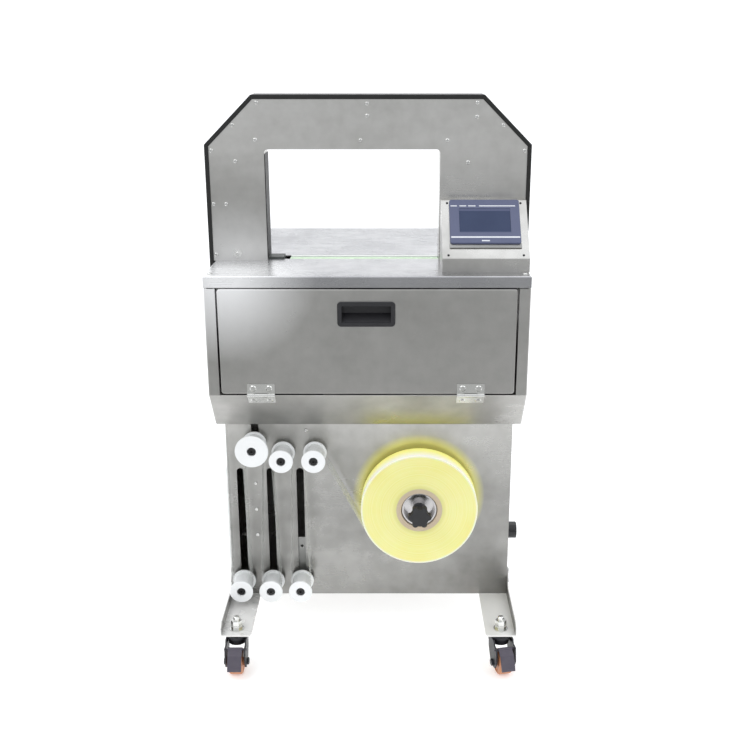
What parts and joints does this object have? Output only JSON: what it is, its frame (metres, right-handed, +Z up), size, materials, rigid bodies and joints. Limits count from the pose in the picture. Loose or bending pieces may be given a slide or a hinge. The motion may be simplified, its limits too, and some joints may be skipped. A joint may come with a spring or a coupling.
{
  "type": "film banding machine",
  "caption": "Free-standing film banding machine: steel cabinet on casters, worktop with an arch, touch panel, hinged door, film reel, guide rollers and a rising dancer.",
  "frame": {"origin": "on the floor under the middle of the overall box", "axes": "+Z up, +X to the operator's right, +Y to the back; the door, reel and touch panel face -Y"},
  "size_m": [0.62, 0.6896, 1.092],
  "materials": {
    "stainless_steel": "brushed and lightly blotched stainless sheet",
    "polished_steel": "bright polished stainless sheet",
    "zinc_fasteners": "bright zinc plated",
    "hinge_chrome": "bright satin steel",
    "black_plastic": "moulded, fine satin",
    "black_gloss": "gloss black",
    "edge_black": "matt black profile",
    "green_acrylic": "pale green sheet, polished edges",
    "dark_anvil": "dark phosphated steel",
    "panel_navy": "blue-black moulded bezel",
    "screen_glass": "dark glossy touch screen, off",
    "bolt_black": "black oxide",
    "carriage_grey": "plain milled",
    "ground_steel": "ground bar",
    "clear_film": "clear film web",
    "hub_chrome": "turned and plated",
    "cast_housing": "turned casting",
    "core_board": "spiral wound board",
    "film_yellow": "tightly wound clear film, pale yellow on its edge",
    "knob_black": "moulded",
    "drive_rubber": "ground rubber sleeve",
    "motor_black": "black enamel",
    "press_aluminium": "milled",
    "white_nylon": "turned white nylon",
    "caster_black": "black enamel",
    "wheel_orange": "orange polyurethane tread on a dark core",
    "pedal_grey": "dark grey enamel"
  },
  "bodies": {
    "root": {"arch_edge_strips": "edge_black", "arch_front_plate": "stainless_steel", "arch_liner": "stainless_steel", "arch_rear_plate": "stainless_steel", "casing_screws": "zinc_fasteners", "caster_studs": "zinc_fasteners", "control_box": "stainless_steel", "dancer_rods": "ground_steel", "feed_motor": "motor_black", "film_runs": "clear_film", "frame_hinge_leaves": "hinge_chrome", "head_back_panel": "stainless_steel", "head_casing": "stainless_steel", "leg_bolts": "zinc_fasteners", "leg_left": "stainless_steel", "leg_right": "stainless_steel", "lower_back_panel": "stainless_steel", "lower_cabinet_shell": "stainless_steel", "lower_front_panel": "stainless_steel", "power_inlet": "black_plastic", "power_switch_body": "black_gloss", "reel_bearing": "cast_housing", "seal_anvil": "dark_anvil", "slot_strip": "green_acrylic", "touch_panel": "panel_navy", "touch_screen": "screen_glass", "upper_roller_bolts": "bolt_black", "worktop_front": "polished_steel", "worktop_rear": "polished_steel"},
    "door": {"door": "stainless_steel", "door_handle": "black_plastic", "door_hinge_leaves": "hinge_chrome"},
    "dancer": {"dancer_carriage": "carriage_grey", "lower_roller_bolts": "bolt_black"},
    "reel": {"reel_spindle": "hub_chrome", "film_core": "core_board", "film_roll": "film_yellow"},
    "reel_knob": {"star_knob": "knob_black"},
    "switch": {"power_switch_knob": "black_gloss"},
    "feed": {"feed_roller": "drive_rubber"},
    "pinch": {"pinch_roller": "ground_steel"},
    "press": {"press_block": "press_aluminium"},
    "upper_roller_right": {"upper_roller_right": "white_nylon"},
    "upper_roller_middle": {"upper_roller_middle": "white_nylon"},
    "upper_roller_left": {"upper_roller_left": "white_nylon"},
    "lower_roller_right": {"lower_roller_right": "white_nylon"},
    "lower_roller_middle": {"lower_roller_middle": "white_nylon"},
    "lower_roller_left": {"lower_roller_left": "white_nylon"},
    "caster_front_left": {"caster_fork_front_left": "caster_black"},
    "wheel_front_left": {"caster_wheel_front_left": "wheel_orange"},
    "pedal_front_left": {"brake_pedal_front_left": "pedal_grey"},
    "caster_front_right": {"caster_fork_front_right": "caster_black"},
    "wheel_front_right": {"caster_wheel_front_right": "wheel_orange"},
    "pedal_front_right": {"brake_pedal_front_right": "pedal_grey"},
    "caster_rear_left": {"caster_fork_rear_left": "caster_black"},
    "wheel_rear_left": {"caster_wheel_rear_left": "wheel_orange"},
    "pedal_rear_left": {"brake_pedal_rear_left": "pedal_grey"},
    "caster_rear_right": {"caster_fork_rear_right": "caster_black"},
    "wheel_rear_right": {"caster_wheel_rear_right": "wheel_orange"},
    "pedal_rear_right": {"brake_pedal_rear_right": "pedal_grey"}
  },
  "joints": [
    {"name": "door_hinge", "type": "hinge", "parent": "root", "child": "door", "pos_m": [0, -0.2322, 0.5515], "axis": [1, 0, 0], "range_deg": [0, 115]},
    {"name": "dancer_lift", "type": "slide", "parent": "root", "child": "dancer", "axis": [0, 0, 1], "range_m": [0, 0.2], "deforming": ["film_runs"]},
    {"name": "reel_turn", "type": "hinge", "parent": "root", "child": "reel", "pos_m": [0.1, -0.188, 0.302], "axis": [0, 1, 0], "continuous": true},
    {"name": "reel_knob_turn", "type": "hinge", "parent": "reel", "child": "reel_knob", "pos_m": [0.1, -0.229, 0.302], "axis": [0, 1, 0], "continuous": true},
    {"name": "switch_turn", "type": "hinge", "parent": "root", "child": "switch", "pos_m": [0.298, -0.079, 0.199], "axis": [1, 0, 0], "range_deg": [0, 90]},
    {"name": "feed_turn", "type": "hinge", "parent": "root", "child": "feed", "pos_m": [-0.18, -0.047, 0.64], "axis": [0, 1, 0], "continuous": true},
    {"name": "pinch_turn", "type": "hinge", "parent": "root", "child": "pinch", "pos_m": [-0.1474, -0.047, 0.64], "axis": [0, 1, 0], "continuous": true},
    {"name": "press_lift", "type": "slide", "parent": "root", "child": "press", "axis": [0, 0, 1], "range_m": [0, 0.008]},
    {"name": "upper_roller_right_turn", "type": "hinge", "parent": "root", "child": "upper_roller_right", "pos_m": [-0.1075, -0.184, 0.407], "axis": [0, 1, 0], "continuous": true},
    {"name": "upper_roller_middle_turn", "type": "hinge", "parent": "root", "child": "upper_roller_middle", "pos_m": [-0.1707, -0.184, 0.407], "axis": [0, 1, 0], "continuous": true},
    {"name": "upper_roller_left_turn", "type": "hinge", "parent": "root", "child": "upper_roller_left", "pos_m": [-0.227, -0.184, 0.428], "axis": [0, 1, 0], "continuous": true},
    {"name": "lower_roller_right_turn", "type": "hinge", "parent": "dancer", "child": "lower_roller_right", "pos_m": [-0.1395, -0.184, 0.123], "axis": [0, 1, 0], "continuous": true},
    {"name": "lower_roller_middle_turn", "type": "hinge", "parent": "dancer", "child": "lower_roller_middle", "pos_m": [-0.1995, -0.184, 0.123], "axis": [0, 1, 0], "continuous": true},
    {"name": "lower_roller_left_turn", "type": "hinge", "parent": "dancer", "child": "lower_roller_left", "pos_m": [-0.2595, -0.184, 0.123], "axis": [0, 1, 0], "continuous": true},
    {"name": "swivel_front_left", "type": "hinge", "parent": "root", "child": "caster_front_left", "pos_m": [-0.2595, -0.285, 0.074], "axis": [0, 0, 1], "continuous": true},
    {"name": "wheel_front_left_turn", "type": "hinge", "parent": "caster_front_left", "child": "wheel_front_left", "pos_m": [-0.2595, -0.305, 0.025], "axis": [1, 0, 0], "continuous": true},
    {"name": "pedal_front_left_lift", "type": "hinge", "parent": "caster_front_left", "child": "pedal_front_left", "pos_m": [-0.2595, -0.315, 0.057], "axis": [-1, 0, 0], "range_deg": [0, 30]},
    {"name": "swivel_front_right", "type": "hinge", "parent": "root", "child": "caster_front_right", "pos_m": [0.2595, -0.285, 0.074], "axis": [0, 0, 1], "continuous": true},
    {"name": "wheel_front_right_turn", "type": "hinge", "parent": "caster_front_right", "child": "wheel_front_right", "pos_m": [0.26366, -0.30456, 0.025], "axis": [0.9781, 0.2079, 0], "continuous": true},
    {"name": "pedal_front_right_lift", "type": "hinge", "parent": "caster_front_right", "child": "pedal_front_right", "pos_m": [0.26574, -0.31434, 0.057], "axis": [-0.9781, -0.2079, 0], "range_deg": [0, 30]},
    {"name": "swivel_rear_left", "type": "hinge", "parent": "root", "child": "caster_rear_left", "pos_m": [-0.2595, 0.285, 0.074], "axis": [0, 0, 1], "continuous": true},
    {"name": "wheel_rear_left_turn", "type": "hinge", "parent": "caster_rear_left", "child": "wheel_rear_left", "pos_m": [-0.2595, 0.305, 0.025], "axis": [-1, 0, 0], "continuous": true},
    {"name": "pedal_rear_left_lift", "type": "hinge", "parent": "caster_rear_left", "child": "pedal_rear_left", "pos_m": [-0.2595, 0.315, 0.057], "axis": [1, 0, 0], "range_deg": [0, 30]},
    {"name": "swivel_rear_right", "type": "hinge", "parent": "root", "child": "caster_rear_right", "pos_m": [0.2595, 0.285, 0.074], "axis": [0, 0, 1], "continuous": true},
    {"name": "wheel_rear_right_turn", "type": "hinge", "parent": "caster_rear_right", "child": "wheel_rear_right", "pos_m": [0.25534, 0.30456, 0.025], "axis": [-0.9781, -0.2079, 0], "continuous": true},
    {"name": "pedal_rear_right_lift", "type": "hinge", "parent": "caster_rear_right", "child": "pedal_rear_right", "pos_m": [0.25326, 0.31434, 0.057], "axis": [0.9781, 0.2079, 0], "range_deg": [0, 30]}
  ],
  "couplings": [
    {"joint": "pinch_turn", "follows": "feed_turn", "ratio": -1.2857}
  ]
}
